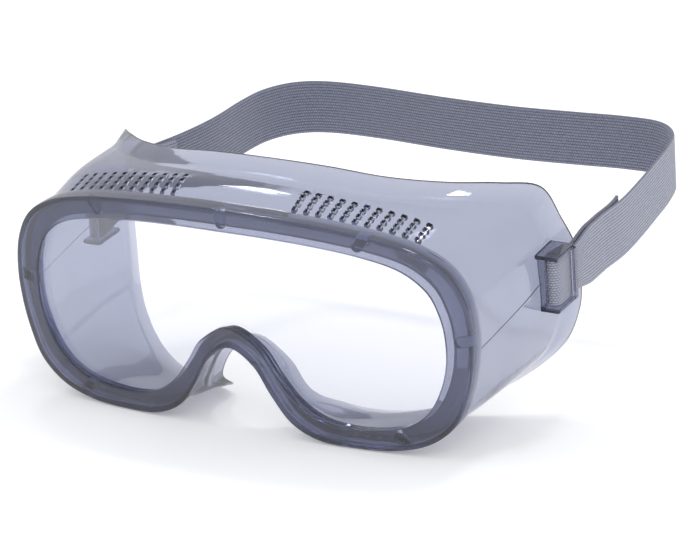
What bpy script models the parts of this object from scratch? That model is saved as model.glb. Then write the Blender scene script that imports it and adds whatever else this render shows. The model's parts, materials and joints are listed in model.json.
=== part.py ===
"""Direct-vent safety goggles: a soft moulded body, a clear lens in its groove and an elastic strap.

The goggles are drawn with the lens upright, the front of the rim at y = 0 and the wearer at +Y.
Then the whole assembly is leaned forward until the rim and the cheeks stand on one floor.
Lengths in the tables below are millimetres; MM turns them into metres.
"""
import bpy
import bmesh
from math import asin, cos, pi, radians, sin, sqrt
from mathutils import Matrix, Vector

MM = 0.001

# Driving dimensions, in millimetres.
RIM_WIDTH = 161.0          # across the front of the rim
RIM_HEIGHT = 74.4          # top of the rim to the bottom of the cheeks, at the front
BOW_RADIUS = 440.0         # the rim and lens curve round the face about a vertical axis
FOREHEAD_DEPTH = 34.0      # front of the rim to the rear edge, on the centre line
FACE_MARGIN = 16.5         # the face's radius is this much more than half the rim's width
RIM_DEPTH = 6.6            # front to back of the thick rim
LIP = 1.9                  # rim in front of the lens
GROOVE_WALL = 2.0          # rim outside the lens edge
LENS_THICKNESS = 2.0
FIT_GAP = 0.3              # between pieces that touch on the real goggles
EDGE_ROUND = 0.7           # chamfer on the rim's edges
REAR_LIP_CUT = 1.2         # how much shorter the lip behind the lens is
RIM_STEP = 1.1             # from the rim's outside in to the side wall's outside
WALL = 1.8
FLANGE = 1.2               # thickness of the band that meets the face
FLANGE_WIDTH = 9.4
CREASE_INSET = 1.7         # how far the crease sits inside a straight wall
CROWN = 1.9                # how far the top wall swells out, half way back
SIDE_CROWN = 0.35          # share of that swelling on the side walls

VENT_SIZE = 1.5            # square vent through the top wall
VENT_PITCH_X = 3.95
VENT_PITCH_Y = 2.65
VENT_COLUMNS = 11
VENT_ROWS = 4
VENT_FIRST_X = 21.2
VENT_FIRST_Y = 3.4         # behind the rim
DRAIN_SIZE = 1.5           # vents in the floor of each cheek
DRAIN_PITCH = 3.8
DRAIN_COUNT = 7
DRAIN_FIRST_X = 34.0
DRAIN_Y = 4.4              # behind the rim

KEY_RADIUS = 2.4           # pips of the rim that lock into notches in the lens edge
KEY_REACH = 2.6            # from the groove floor to the middle of a pip
KEY_PLACES = (0, 0.15, 0.405, 0.645)  # shares of the way from the top centre to the nose

STRAP_WIDTH = 19.0
SQUEEZED_WIDTH = 15.2      # of the strap between the bracket's plates
STRAP_THICKNESS = 1.1
BRACKET_AHEAD = 23.8       # the strap's loop starts this far in front of the widest edge
BAR_THICKNESS = 2.2
BAR_DEPTH = 0.8            # behind the round front of the bar
PLATE = 1.4                # top and bottom plate of a bracket
PLATE_LENGTH = 12.0
ROOT_WEB = 1.0             # web that ties the plates at the wall, in front of the strap
ROOT_REACH = 2.2           # how far the web stands off the wall
EDGE_GAP = 0.5             # from the widest edge out to the strap's inner layer
KEEPER = 1.3               # thickness of the keeper bar outside the strap
KEEPER_LENGTH = 2.2
SLIDE_GAP = 0.35           # strap to bracket plates
HINGE_BEHIND_EDGE = 11.5   # the strap bends here, behind the flange
SWING_UP = 60.0            # degrees that the strap can swing
SWING_DOWN = 40.0
TAIL_GAP = 0.6             # strap to the tail that lies inside it
TAIL_LENGTH = 16.0         # of each free end behind the bend
TAIL_FLARE = 1.3           # how much further the tip of a tail stands off the strap

HIDDEN_STEP = 0.02         # keeps two joined faces from lying in one plane
CUT_FROM = 0.5             # a vent is cut between these shares of half the rim's height
CUT_TO = 1.4
PIN_SIDES = 16             # sides of a round bar or pip
LENS_STRIPS = 16           # upright strips that let the flat lens bend
WEB_ROWS = 12              # strap faces across its width
BAND_COLUMNS = 70          # strap faces along it
LOOP_COLUMNS = 32
TAIL_COLUMNS = 12
TURN_STEPS = 12            # round the bar
PLAN_STEPS = 5             # between two points of the strap's plan
LEAN_STEPS = 20            # corrections of the lean that rests the goggles on the floor

# Half outlines from the top centre round to the middle of the nose arch, as fractions of
# half the rim's width and height. Every outline has the same number of points.
RIM = [(0, .950), (.224, .938), (.447, .905), (.646, .845), (.801, .750), (.913, .592),
       (.976, .358), (1, .085), (.996, -.202), (.969, -.487), (.917, -.756), (.814, -.944),
       (.671, -1.035), (.509, -1.050), (.360, -1.025), (.248, -.903), (.168, -.677),
       (.099, -.430), (0, -.296)]
APERTURE = [(0, .750), (.199, .745), (.398, .720), (.584, .669), (.733, .581), (.832, .419),
            (.877, .215), (.894, .013), (.892, -.215), (.865, -.444), (.810, -.661),
            (.720, -.804), (.602, -.863), (.478, -.871), (.360, -.817), (.265, -.672),
            (.193, -.468), (.124, -.253), (0, -.108)]
# The rear edge has a third value: how far it steps forward of the face to clear the nose.
EDGE = [(0, 1.068, 0), (.248, 1.056, 1.6), (.472, .972, 2.4), (.675, .900, 3.2),
        (.826, .826, 2), (.936, .708, .7), (.984, .376, 0), (1.017, .081, 0), (1.026, -.215, 0),
        (1.019, -.497, 0), (.975, -.780, 0), (.857, -1.000, 0), (.696, -1.151, 0),
        (.509, -1.210, 0), (.348, -1.195, 0), (.242, -1.089, 3), (.193, -.833, 14.5),
        (.124, -.565, 15.5), (0, -.376, 16)]
STATIONS_PER_SPAN = 3

# Plan of the strap from the right-hand bend, round the back of the head and to the left: how
# far across, as a share of where it leaves the bracket, and how far behind the bend.
# It lies as a soft strap falls, a little further out on the right.
STRAP_PLAN = [(1.010, 13.4), (.998, 29.4), (.981, 43.4), (.960, 58.4), (.920, 70.9),
              (.824, 78.6), (.667, 79.6), (.468, 78), (.199, 76.2), (-.105, 76.6), (-.422, 78.4),
              (-.644, 77.8), (-.773, 73.4), (-.850, 64.4), (-.878, 52.4), (-.890, 34.4),
              (-.930, 17.4)]

COLOURS = {
    "frame_body": ((0.50, 0.53, 0.62, 1), 0.25),
    "lens": ((0.88, 0.90, 0.95, 1), 0.05),
    "strap_band": ((0.36, 0.37, 0.42, 1), 0.85),
    "strap_loop": ((0.40, 0.41, 0.46, 1), 0.85),
    "strap_tail": ((0.30, 0.31, 0.37, 1), 0.85),
}


# ---------------------------------------------------------------- scene and mesh helpers

def clear_scene():
    for obj in list(bpy.data.objects):
        bpy.data.objects.remove(obj, do_unlink=True)


def new_collection(name):
    collection = bpy.data.collections.new(name)
    bpy.context.scene.collection.children.link(collection)
    return collection


def make_material(name, colour, roughness):
    material = bpy.data.materials.new(name)
    material.use_nodes = True
    shader = material.node_tree.nodes["Principled BSDF"]
    shader.inputs["Base Color"].default_value = colour
    shader.inputs["Roughness"].default_value = roughness
    shader.inputs["Metallic"].default_value = 0.0
    return material


def add_object(name, bm, collection, look=None):
    bmesh.ops.scale(bm, vec=Vector((MM, MM, MM)), verts=bm.verts)
    bmesh.ops.recalc_face_normals(bm, faces=bm.faces)
    if all(edge.is_manifold for edge in bm.edges) and bm.calc_volume(signed=True) < 0:
        bmesh.ops.reverse_faces(bm, faces=bm.faces)
    mesh = bpy.data.meshes.new(name)
    bm.to_mesh(mesh)
    bm.free()
    obj = bpy.data.objects.new(name, mesh)
    collection.objects.link(obj)
    if look:
        colour, roughness = COLOURS[look]
        mesh.materials.append(make_material(name, colour, roughness))
        mesh.shade_smooth()
        mesh.set_sharp_from_angle(angle=radians(30))
    return obj


def add_cutter(name, bm, collection):
    obj = add_object(name, bm, collection)
    obj.hide_render = True
    obj.display_type = "WIRE"
    return obj


def add_box(bm, low, high):
    low, high = Vector(low), Vector(high)
    matrix = Matrix.Translation((low + high) / 2) @ Matrix.Diagonal((*(high - low), 1))
    bmesh.ops.create_cube(bm, size=1, matrix=matrix)


def boolean(obj, cutter, operation, crossing=False):
    """Joins or cuts; crossing is for a cutter whose own pieces run into each other."""
    modifier = obj.modifiers.new(cutter.name, "BOOLEAN")
    modifier.operation = operation
    modifier.solver = "EXACT"
    modifier.use_self = crossing
    modifier.object = cutter


# ---------------------------------------------------------------- outlines

def smooth_point(p0, p1, p2, p3, t):
    """A point on the Catmull-Rom curve between p1 and p2."""
    return 0.5 * (2 * p1 + (p2 - p0) * t + (2 * p0 - 5 * p1 + 4 * p2 - p3) * t ** 2
                  + (3 * p1 - p0 - 3 * p2 + p3) * t ** 3)


def smooth_path(points, steps):
    """An open curve through all the points."""
    ends = [2 * points[0] - points[1], *points, 2 * points[-1] - points[-2]]
    path = [smooth_point(*ends[i:i + 4], k / steps)
            for i in range(len(points) - 1) for k in range(steps)]
    return path + [points[-1]]


def closed_loop(half):
    """The full outline from its half, mirrored across x = 0."""
    mirror = [Vector((-p.x, p.y, p.z)) for p in half[-2:0:-1]]
    ring = half + mirror
    count = len(ring)
    return [smooth_point(ring[i - 1], ring[i], ring[(i + 1) % count], ring[(i + 2) % count],
                         k / STATIONS_PER_SPAN)
            for i in range(count) for k in range(STATIONS_PER_SPAN)]


def bow(x):
    return x * x / (2 * BOW_RADIUS)


def face_depth(x):
    radius = RIM_WIDTH / 2 + FACE_MARGIN
    return FOREHEAD_DEPTH + radius - sqrt(radius ** 2 - x * x)


def scaled(x, z):
    return x * RIM_WIDTH / 2, z * RIM_HEIGHT / 2


def front_outline(table):
    half = []
    for fraction in table:
        x, z = scaled(*fraction)
        half.append(Vector((x, bow(x), z)))
    return closed_loop(half)


def rear_outline():
    half = []
    for across, up, forward in EDGE:
        x, z = scaled(across, up)
        half.append(Vector((x, face_depth(x) - forward, z)))
    return closed_loop(half)


def inward_directions(ring):
    """Unit vectors in the XZ plane that point into the ring."""
    count = len(ring)
    result = []
    for i in range(count):
        along = ring[(i + 1) % count] - ring[i - 1]
        result.append(Vector((along.z, 0, -along.x)).normalized())
    return result


def crease_outline(rim, edge, inward):
    ring = []
    for front, rear, normal in zip(rim, edge, inward):
        start = front + Vector((0, RIM_DEPTH, 0))
        share = min(FLANGE_WIDTH / (rear - start).length, 0.5)
        side = abs(rear.x) / (RIM_WIDTH / 2)
        ring.append(rear.lerp(start, share) + normal * CREASE_INSET * (0.3 + 0.7 * side))
    return ring


# ---------------------------------------------------------------- body

class Shape:
    """The outlines that the body, lens and strap share."""

    def __init__(self):
        self.rim = front_outline(RIM)
        self.aperture = front_outline(APERTURE)
        self.edge = rear_outline()
        self.inward = inward_directions(self.edge)
        self.crease = crease_outline(self.rim, self.edge, self.inward)
        self.crown = [self.crown_point(i) for i in range(len(self.rim))]

    def rim_point(self, i, depth, inset):
        """A point of the rim: behind its front face by depth, in from its outside by inset."""
        across = self.aperture[i] - self.rim[i]
        point = self.rim[i] + across.normalized() * inset
        point.y = bow(point.x) + depth
        return point

    def crown_point(self, i):
        """The outside of the wall half way back, swollen most where the wall faces up."""
        root = self.rim_point(i, RIM_DEPTH + WALL / 2, RIM_STEP)
        facing_up = max(0.0, -self.inward[i].z)
        swelling = CROWN * (SIDE_CROWN + (1 - SIDE_CROWN) * facing_up)
        return (root + self.crease[i]) / 2 - self.inward[i] * swelling

    def band(self, i):
        return (self.aperture[i] - self.rim[i]).length

    def section(self, i):
        """The closed section of the body at one station, groove and flange included."""
        band = self.band(i)
        groove_back = LIP + LENS_THICKNESS + 2 * FIT_GAP
        return [
            self.rim_point(i, EDGE_ROUND, 0),
            self.rim_point(i, 0, EDGE_ROUND),
            self.rim_point(i, 0, band - EDGE_ROUND),
            self.rim_point(i, EDGE_ROUND, band),
            self.rim_point(i, LIP, band),
            self.rim_point(i, LIP, GROOVE_WALL),
            self.rim_point(i, groove_back, GROOVE_WALL),
            self.rim_point(i, groove_back, band - REAR_LIP_CUT),
            self.rim_point(i, RIM_DEPTH, band - REAR_LIP_CUT),
            self.rim_point(i, RIM_DEPTH + WALL, RIM_STEP + WALL),
            self.crown[i] + self.inward[i] * WALL,
            self.crease[i] + self.inward[i] * WALL,
            self.edge[i] + self.inward[i] * FLANGE,
            self.edge[i],
            self.crease[i],
            self.crown[i],
            self.rim_point(i, RIM_DEPTH + WALL / 2, RIM_STEP),
            self.rim_point(i, RIM_DEPTH - EDGE_ROUND / 2, RIM_STEP / 3),
            self.rim_point(i, RIM_DEPTH - EDGE_ROUND, 0),
        ]

    def side_wall_x(self, y, z):
        """Outside of the right-hand side wall at one height and depth."""
        half = len(self.rim) // 2
        i = min(range(half // 4, half * 2 // 3), key=lambda k: abs(self.crease[k].z - z))
        start, end = self.crown[i], self.crease[i]
        return start.x + (end.x - start.x) * (y - start.y) / (end.y - start.y)


def body_ring(shape):
    """The moulding without holes: one section swept round the face opening."""
    bm = bmesh.new()
    rows = [[bm.verts.new(p) for p in shape.section(i)] for i in range(len(shape.rim))]
    for row, after in zip(rows, rows[1:] + rows[:1]):
        for k in range(len(row)):
            bm.faces.new((row[k - 1], row[k], after[k], after[k - 1]))
    return bm


def key_positions(shape):
    """Where the rim's pips lock the lens: top, corners, sides and cheeks."""
    half = len(shape.rim) // 2
    stations = [round(share * half) for share in KEY_PLACES]
    stations += [len(shape.rim) - s for s in stations if s]
    return [shape.rim_point(i, 0, GROOVE_WALL + KEY_REACH) for i in stations]


def add_pin(bm, centre, radius, front, back):
    matrix = Matrix.Translation((centre.x, centre.y + (front + back) / 2, centre.z))
    matrix = matrix @ Matrix.Rotation(pi / 2, 4, "X")
    bmesh.ops.create_cone(bm, cap_ends=True, segments=PIN_SIDES, radius1=radius, radius2=radius,
                          depth=back - front, matrix=matrix)


def rim_keys(shape, collection):
    bm = bmesh.new()
    for centre in key_positions(shape):
        add_pin(bm, centre, KEY_RADIUS, LIP / 2, LIP + LENS_THICKNESS + 3 * FIT_GAP)
    return add_cutter("rim_keys", bm, collection)


def top_vents(collection):
    """Cutter for the two fields of square vents above the lens."""
    bm = bmesh.new()
    height = RIM_HEIGHT / 2
    for side in (-1, 1):
        for column in range(VENT_COLUMNS):
            x = side * (VENT_FIRST_X + column * VENT_PITCH_X)
            for row in range(VENT_ROWS):
                y = bow(x) + RIM_DEPTH + VENT_FIRST_Y + row * VENT_PITCH_Y
                low = (x - VENT_SIZE / 2, y - VENT_SIZE / 2, height * CUT_FROM)
                high = (x + VENT_SIZE / 2, y + VENT_SIZE / 2, height * CUT_TO)
                add_box(bm, low, high)
    return add_cutter("top_vents", bm, collection)


def cheek_drains(collection):
    """Cutter for the row of small vents in the floor of each cheek."""
    bm = bmesh.new()
    height = RIM_HEIGHT / 2
    for side in (-1, 1):
        for column in range(DRAIN_COUNT):
            x = side * (DRAIN_FIRST_X + column * DRAIN_PITCH)
            y = bow(x) + RIM_DEPTH + DRAIN_Y
            low = (x - DRAIN_SIZE / 2, y - DRAIN_SIZE / 2, -height * CUT_TO)
            high = (x + DRAIN_SIZE / 2, y + DRAIN_SIZE / 2, -height * CUT_FROM)
            add_box(bm, low, high)
    return add_cutter("cheek_drains", bm, collection)


def bracket(shape, side, collection):
    """Two plates and their root web, the bar that the strap turns round and the keeper bar."""
    window = SQUEEZED_WIDTH / 2 + SLIDE_GAP
    layer = STRAP_THICKNESS / 2 + FIT_GAP
    front = loop_front() - STRAP_THICKNESS / 2 - SLIDE_GAP
    back = front + PLATE_LENGTH
    keeper_x = strap_x() + layer
    outer = keeper_x + KEEPER / 2
    bar_x = strap_x() - layer - BAR_THICKNESS / 2
    turn_y = loop_front() + layer + BAR_THICKNESS / 2
    reach = window + PLATE / 2
    rail = BAR_THICKNESS / 2 - HIDDEN_STEP
    bm = bmesh.new()
    for end in (-1, 1):
        z = sorted((end * window, end * (window + PLATE)))
        wall = min(shape.side_wall_x(y, end * window) for y in (front, back)) - WALL / 3
        add_box(bm, (wall, front - ROOT_WEB, z[0]), (outer, back, z[1]))
    root = shape.side_wall_x(front, 0)
    add_box(bm, (root - WALL / 3, front - ROOT_WEB + HIDDEN_STEP, -reach),
            (root + ROOT_REACH, front, reach))
    bmesh.ops.create_cone(bm, cap_ends=True, segments=PIN_SIDES, radius1=BAR_THICKNESS / 2,
                          radius2=BAR_THICKNESS / 2, depth=2 * reach,
                          matrix=Matrix.Translation((bar_x, turn_y, 0)))
    add_box(bm, (bar_x - rail, turn_y, HIDDEN_STEP - reach),
            (bar_x + rail, turn_y + BAR_DEPTH, reach - HIDDEN_STEP))
    add_box(bm, (keeper_x, back - KEEPER_LENGTH, -reach), (keeper_x + KEEPER, back, reach))
    if side < 0:
        bmesh.ops.scale(bm, vec=Vector((-1, 1, 1)), verts=bm.verts)
    return add_cutter("bracket_" + ("right" if side > 0 else "left"), bm, collection)


def make_body(shape, parts, cutters):
    body = add_object("frame_body", body_ring(shape), parts, "frame_body")
    boolean(body, rim_keys(shape, cutters), "UNION")
    boolean(body, bracket(shape, 1, cutters), "UNION", crossing=True)
    boolean(body, bracket(shape, -1, cutters), "UNION", crossing=True)
    boolean(body, top_vents(cutters), "DIFFERENCE")
    boolean(body, cheek_drains(cutters), "DIFFERENCE")
    return body


# ---------------------------------------------------------------- lens

def make_lens(shape, parts, cutters):
    """A flat outline cut into upright strips, bent to the rim's bow and thickened."""
    inset = GROOVE_WALL + FIT_GAP
    outline = [shape.rim_point(i, 0, inset) for i in range(len(shape.rim))]
    bm = bmesh.new()
    bm.faces.new([bm.verts.new((p.x, 0, p.z)) for p in outline])
    for k in range(1, LENS_STRIPS):
        x = RIM_WIDTH * (k / LENS_STRIPS - 0.5)
        geometry = bm.verts[:] + bm.edges[:] + bm.faces[:]
        bmesh.ops.bisect_plane(bm, geom=geometry, plane_co=(x, 0, 0), plane_no=(1, 0, 0))
    for vert in bm.verts:
        vert.co.y = bow(vert.co.x) + LIP + FIT_GAP + LENS_THICKNESS / 2
    lens = add_object("lens", bm, parts, "lens")
    solid = lens.modifiers.new("thickness", "SOLIDIFY")
    solid.thickness = LENS_THICKNESS * MM
    solid.offset = 0
    boolean(lens, lens_notches(shape, cutters), "DIFFERENCE")
    return lens


def lens_notches(shape, collection):
    """Cutter for the notches that the rim's pips fill, open to the lens edge."""
    bm = bmesh.new()
    radius = KEY_RADIUS + FIT_GAP
    for centre in key_positions(shape):
        add_pin(bm, centre, radius, -LIP, RIM_DEPTH)
    return add_cutter("lens_notches", bm, collection)


# ---------------------------------------------------------------- strap

def widest_edge():
    return RIM_WIDTH / 2 * max(across for across, up, forward in EDGE)


def hinge_y():
    return face_depth(widest_edge()) + HINGE_BEHIND_EDGE


def tail_x():
    """Middle of the strap's inner layer, where it passes the edge of the flange."""
    return widest_edge() + EDGE_GAP + STRAP_THICKNESS / 2


def loop_front():
    """Front of the strap's middle line where it turns round the bracket's bar."""
    return face_depth(widest_edge()) - BRACKET_AHEAD


def strap_x():
    """Middle of the strap's outer layer, where it leaves the bracket."""
    return tail_x() + TAIL_GAP + STRAP_THICKNESS


def bend_offset(z, radius):
    """How far ahead of the bend's axis a rounded strap end reaches at height z."""
    return sqrt(max(radius ** 2 - z * z, 0))


def swept_offset(z, radius):
    """How far ahead of the axis the edges of the swinging strap reach at height z."""
    limit = radians(SWING_UP if z > 0 else SWING_DOWN)
    if abs(z) > radius * cos(limit):
        return (radius - abs(z) * cos(limit)) / sin(limit)
    return bend_offset(z, radius)


def strap_width(y):
    """Full width behind the flange, squeezed between the bracket's plates."""
    narrow = loop_front() + PLATE_LENGTH + STRAP_THICKNESS
    wide = hinge_y() - STRAP_WIDTH / 2
    t = min(max((y - narrow) / (wide - narrow), 0), 1)
    return SQUEEZED_WIDTH + (STRAP_WIDTH - SQUEEZED_WIDTH) * t * t * (3 - 2 * t)


class Path:
    """A plan curve measured along its length."""

    def __init__(self, points):
        self.points = points
        self.reach = [0.0]
        for a, b in zip(points, points[1:]):
            self.reach.append(self.reach[-1] + (b - a).length)

    def at(self, distance):
        distance = min(max(distance, 0), self.reach[-1])
        k = 1
        while self.reach[k] < distance and k < len(self.reach) - 1:
            k += 1
        share = (distance - self.reach[k - 1]) / (self.reach[k] - self.reach[k - 1])
        return self.points[k - 1].lerp(self.points[k], share)


def webbing(name, path, start, end, columns, look, parts):
    """A strap length on a plan path; start(z) and end(z) give its ends at height z."""
    bm = bmesh.new()
    grid = []
    for j in range(WEB_ROWS + 1):
        z = STRAP_WIDTH / 2 * sin(pi * (j / WEB_ROWS - 0.5))
        line = []
        for i in range(columns + 1):
            point = path.at(start(z) + (end(z) - start(z)) * i / columns)
            height = z * strap_width(point.y) / STRAP_WIDTH
            line.append(bm.verts.new((point.x, point.y, height)))
        grid.append(line)
    for low, high in zip(grid, grid[1:]):
        for i in range(columns):
            bm.faces.new((low[i], low[i + 1], high[i + 1], high[i]))
    strap = add_object(name, bm, parts, look)
    solid = strap.modifiers.new("thickness", "SOLIDIFY")
    solid.thickness = STRAP_THICKNESS * MM
    solid.offset = 0
    return strap


def loop_path(side):
    """Plan of the strap from one bend forward, round the bracket's bar and back to the bend."""
    radius = BAR_THICKNESS / 2 + FIT_GAP + STRAP_THICKNESS / 2
    middle = strap_x() - radius
    turn_y = loop_front() + radius
    points = [Vector((strap_x(), hinge_y(), 0))]
    for k in range(TURN_STEPS + 1):
        angle = pi * k / TURN_STEPS
        points.append(Vector((middle + radius * cos(angle), turn_y - radius * sin(angle), 0)))
    points.append(Vector((middle - radius, turn_y + BAR_DEPTH, 0)))
    points.append(Vector((tail_x(), face_depth(widest_edge()) - FLANGE_WIDTH, 0)))
    points.append(Vector((tail_x(), hinge_y(), 0)))
    return Path([Vector((side * p.x, p.y, 0)) for p in points])


def tail_path(points):
    """Plan of a free end: against the inside of the strap, its tip standing off a little."""
    result = []
    gone = 0.0
    for i, point in enumerate(points):
        gone += (point - points[i - 1]).length if i else 0
        along = (points[min(i + 1, len(points) - 1)] - points[max(i - 1, 0)]).normalized()
        inside = Vector((-along.y, along.x, 0))
        behind = min(max((gone - STRAP_WIDTH / 2) / TAIL_LENGTH, 0), 1)
        gap = TAIL_GAP + TAIL_FLARE * behind * behind
        result.append(point + inside * (STRAP_THICKNESS + gap))
    return Path(result)


def mirrored(points):
    return [Vector((-p.x, p.y, p.z)) for p in points]


def make_strap(parts, pivot):
    radius = STRAP_WIDTH / 2
    hinge = hinge_y()
    right = [Vector((strap_x(), hinge - radius, 0)), Vector((strap_x(), hinge, 0))]
    plan = [Vector((x * strap_x(), hinge + y, 0)) for x, y in STRAP_PLAN]
    points = smooth_path(right + plan + mirrored(right)[::-1], PLAN_STEPS)
    path = Path(points)
    length = path.reach[-1]
    moving = [webbing("strap_band", path, lambda z: radius - bend_offset(z, radius),
                      lambda z: length - radius + bend_offset(z, radius), BAND_COLUMNS,
                      "strap_band", parts)]
    for side, name in ((1, "right"), (-1, "left")):
        loop = loop_path(side)
        total = loop.reach[-1]
        webbing("strap_loop_" + name, loop, lambda z: swept_offset(z, radius + FIT_GAP),
                lambda z: total - swept_offset(z, radius + FIT_GAP), LOOP_COLUMNS,
                "strap_loop", parts)
        near = points if side > 0 else mirrored(points[::-1])
        tail = tail_path(near)
        if side < 0:
            tail = Path(mirrored(tail.points))
        moving.append(webbing("strap_tail_" + name, tail,
                              lambda z: radius - bend_offset(z, radius),
                              lambda z: radius + TAIL_LENGTH, TAIL_COLUMNS, "strap_tail", parts))
    for obj in moving:
        obj.parent = pivot
        obj.matrix_parent_inverse = pivot.matrix_world.inverted()


# ---------------------------------------------------------------- assembly

def world_points(objects):
    bpy.context.view_layer.update()
    graph = bpy.context.evaluated_depsgraph_get()
    points = []
    for obj in objects:
        shaped = obj.evaluated_get(graph)
        points += [shaped.matrix_world @ v.co for v in shaped.data.vertices]
    return points


def standing_lean(body):
    """Forward lean that brings the rim and the cheeks to the same floor."""
    points = world_points([body])
    middle = FOREHEAD_DEPTH * MM / 2
    lean = 0.0
    for _ in range(LEAN_STEPS):
        low = {}
        for p in points:
            half = "rim" if p.y < middle else "cheek"
            height = p.y * sin(lean) + p.z * cos(lean)
            if half not in low or height < low[half][0]:
                low[half] = (height, p)
        span = low["cheek"][1].y - low["rim"][1].y
        lean += asin((low["rim"][0] - low["cheek"][0]) / span)
    return lean


def empty(name, location, collection):
    obj = bpy.data.objects.new(name, None)
    obj.location = location
    collection.objects.link(obj)
    return obj


def build():
    clear_scene()
    parts = new_collection("safety_goggles")
    cutters = new_collection("cutters")
    root = empty("goggles_root", (0, 0, 0), parts)
    pivot = empty("strap_pivot", (0, hinge_y() * MM, 0), parts)
    bpy.context.view_layer.update()
    shape = Shape()
    body = make_body(shape, parts, cutters)
    make_lens(shape, parts, cutters)
    make_strap(parts, pivot)
    lean = standing_lean(body)
    for obj in list(parts.objects) + list(cutters.objects):
        if obj is not root and obj.parent is None:
            obj.parent = root
    root.rotation_euler.x = lean
    meshes = [obj for obj in parts.objects if obj.type == "MESH"]
    points = world_points(meshes)
    root.location.y = -(min(p.y for p in points) + max(p.y for p in points)) / 2
    root.location.z = -min(p.z for p in points)
    bpy.context.view_layer.update()


build()
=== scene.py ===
# %% [markdown]
# # Direct-vent safety goggles
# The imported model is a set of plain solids: a soft moulded body, a lens and a strap.  This
# lesson rebuilds each of them at the fineness that clear plastic and knitted elastic need,
# without moving or resizing anything: every length below is one of the model's own sizes.

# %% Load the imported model
import bpy
import bmesh
import json
from functools import partial
from math import atan2, cos, pi, radians, sin, sqrt
from mathutils import Matrix, Vector

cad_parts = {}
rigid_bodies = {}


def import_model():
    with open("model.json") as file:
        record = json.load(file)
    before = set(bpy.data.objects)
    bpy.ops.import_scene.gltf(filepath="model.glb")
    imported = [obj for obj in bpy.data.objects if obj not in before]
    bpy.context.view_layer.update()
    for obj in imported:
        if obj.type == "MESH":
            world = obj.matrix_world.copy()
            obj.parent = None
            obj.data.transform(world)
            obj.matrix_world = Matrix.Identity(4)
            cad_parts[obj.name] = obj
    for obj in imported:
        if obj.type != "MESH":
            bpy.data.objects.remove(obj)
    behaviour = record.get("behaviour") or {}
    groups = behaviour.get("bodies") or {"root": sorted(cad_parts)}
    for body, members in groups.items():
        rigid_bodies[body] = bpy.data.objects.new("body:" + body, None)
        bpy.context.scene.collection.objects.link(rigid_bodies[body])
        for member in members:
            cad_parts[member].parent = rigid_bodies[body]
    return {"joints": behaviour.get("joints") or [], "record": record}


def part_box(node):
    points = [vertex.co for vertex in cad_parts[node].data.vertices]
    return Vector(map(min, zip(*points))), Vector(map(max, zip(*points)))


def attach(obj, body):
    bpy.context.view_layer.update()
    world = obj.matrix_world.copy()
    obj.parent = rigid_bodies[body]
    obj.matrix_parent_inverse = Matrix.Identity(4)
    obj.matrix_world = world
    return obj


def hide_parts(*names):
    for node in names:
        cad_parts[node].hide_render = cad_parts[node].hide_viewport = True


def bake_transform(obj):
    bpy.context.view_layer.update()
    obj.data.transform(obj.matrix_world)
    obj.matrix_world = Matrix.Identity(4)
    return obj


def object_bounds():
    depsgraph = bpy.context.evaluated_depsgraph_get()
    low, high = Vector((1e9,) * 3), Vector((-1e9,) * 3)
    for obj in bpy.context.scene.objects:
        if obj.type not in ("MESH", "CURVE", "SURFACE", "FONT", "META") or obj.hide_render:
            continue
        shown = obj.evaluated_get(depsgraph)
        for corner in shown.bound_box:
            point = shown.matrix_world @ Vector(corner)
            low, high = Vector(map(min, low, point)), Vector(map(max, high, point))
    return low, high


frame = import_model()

cad_low, cad_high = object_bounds()
print("CAD box, mm:", [round(v * 1000, 1) for v in (*cad_low, *cad_high)])

# %% [markdown]
# ## One drawing for every piece
# The goggles are easiest to draw with the lens upright: x to the right as you face the lens,
# y back towards the wearer, z up, millimetres, the front of the rim at y = 0.  On the table
# they lean forward until the rim and the cheeks touch it.  The record says how far: the
# bracket's top face gives the lean and the strap's hinge gives the place, so nothing is fitted.

# %% From the upright drawing to the standing goggles
MM = 0.001
record = frame["record"]
hinge_joint = frame["joints"][0]
plate_axis = next(m for m in record["mounts"] if m["name"] == "bracket_top_right")["axis"]
LEAN = atan2(-plate_axis[1], plate_axis[2])
HINGE_POINT = Vector(hinge_joint["pos_m"])

RIM_WIDTH = 161.0
RIM_HEIGHT = 74.4
BOW_RADIUS = 440.0          # of the rim and the lens, seen from above
FOREHEAD_DEPTH = 34.0       # from the rim back to the rear edge, in the middle
FACE_RADIUS = 97.0          # of the curve that the rear edge follows
HINGE_BEHIND_EDGE = 11.5
EDGE_SPREAD = 1.026         # widest point of the rear edge, as a share of half the rim's width
WIDEST_EDGE = RIM_WIDTH / 2 * EDGE_SPREAD


def face_depth(x):
    """How far behind the rim the rear edge lies, at one side-to-side place."""
    return FOREHEAD_DEPTH + FACE_RADIUS - sqrt(FACE_RADIUS ** 2 - x * x)


HINGE_Y = face_depth(WIDEST_EDGE) + HINGE_BEHIND_EDGE
STAND = (Matrix.Translation(HINGE_POINT) @ Matrix.Rotation(LEAN, 4, "X")
         @ Matrix.Scale(MM, 4) @ Matrix.Translation((0, -HINGE_Y, 0)))
print(f"lean {LEAN:.4f} rad, hinge {HINGE_Y:.3f} mm behind the rim")

# %% [markdown]
# ## Camera, light and floor first
# A long lens from slightly above and to one side keeps the rim's curve honest.  Clear plastic
# shows what stands around it, so the studio is a bright, even room: a pale floor, two small
# soft boxes overhead for the sharp gleams and a narrow one in front for the thin highlights.

# %% Camera
VIEW_AZIMUTH = radians(28.12)
VIEW_ELEVATION = radians(15.21)
VIEW_ROLL = radians(0.54)
VIEW_DISTANCE = 1.151
VIEW_MIDDLE = Vector((0, -0.050, 0.040))
AIM_ACROSS = 0.0225
AIM_UP = 0.0061
SENSOR = 36.0
FOCAL_LENGTH = 188.9
NEAREST = 0.05
FURTHEST = 20


def link(obj):
    bpy.context.scene.collection.objects.link(obj)
    return obj


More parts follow.
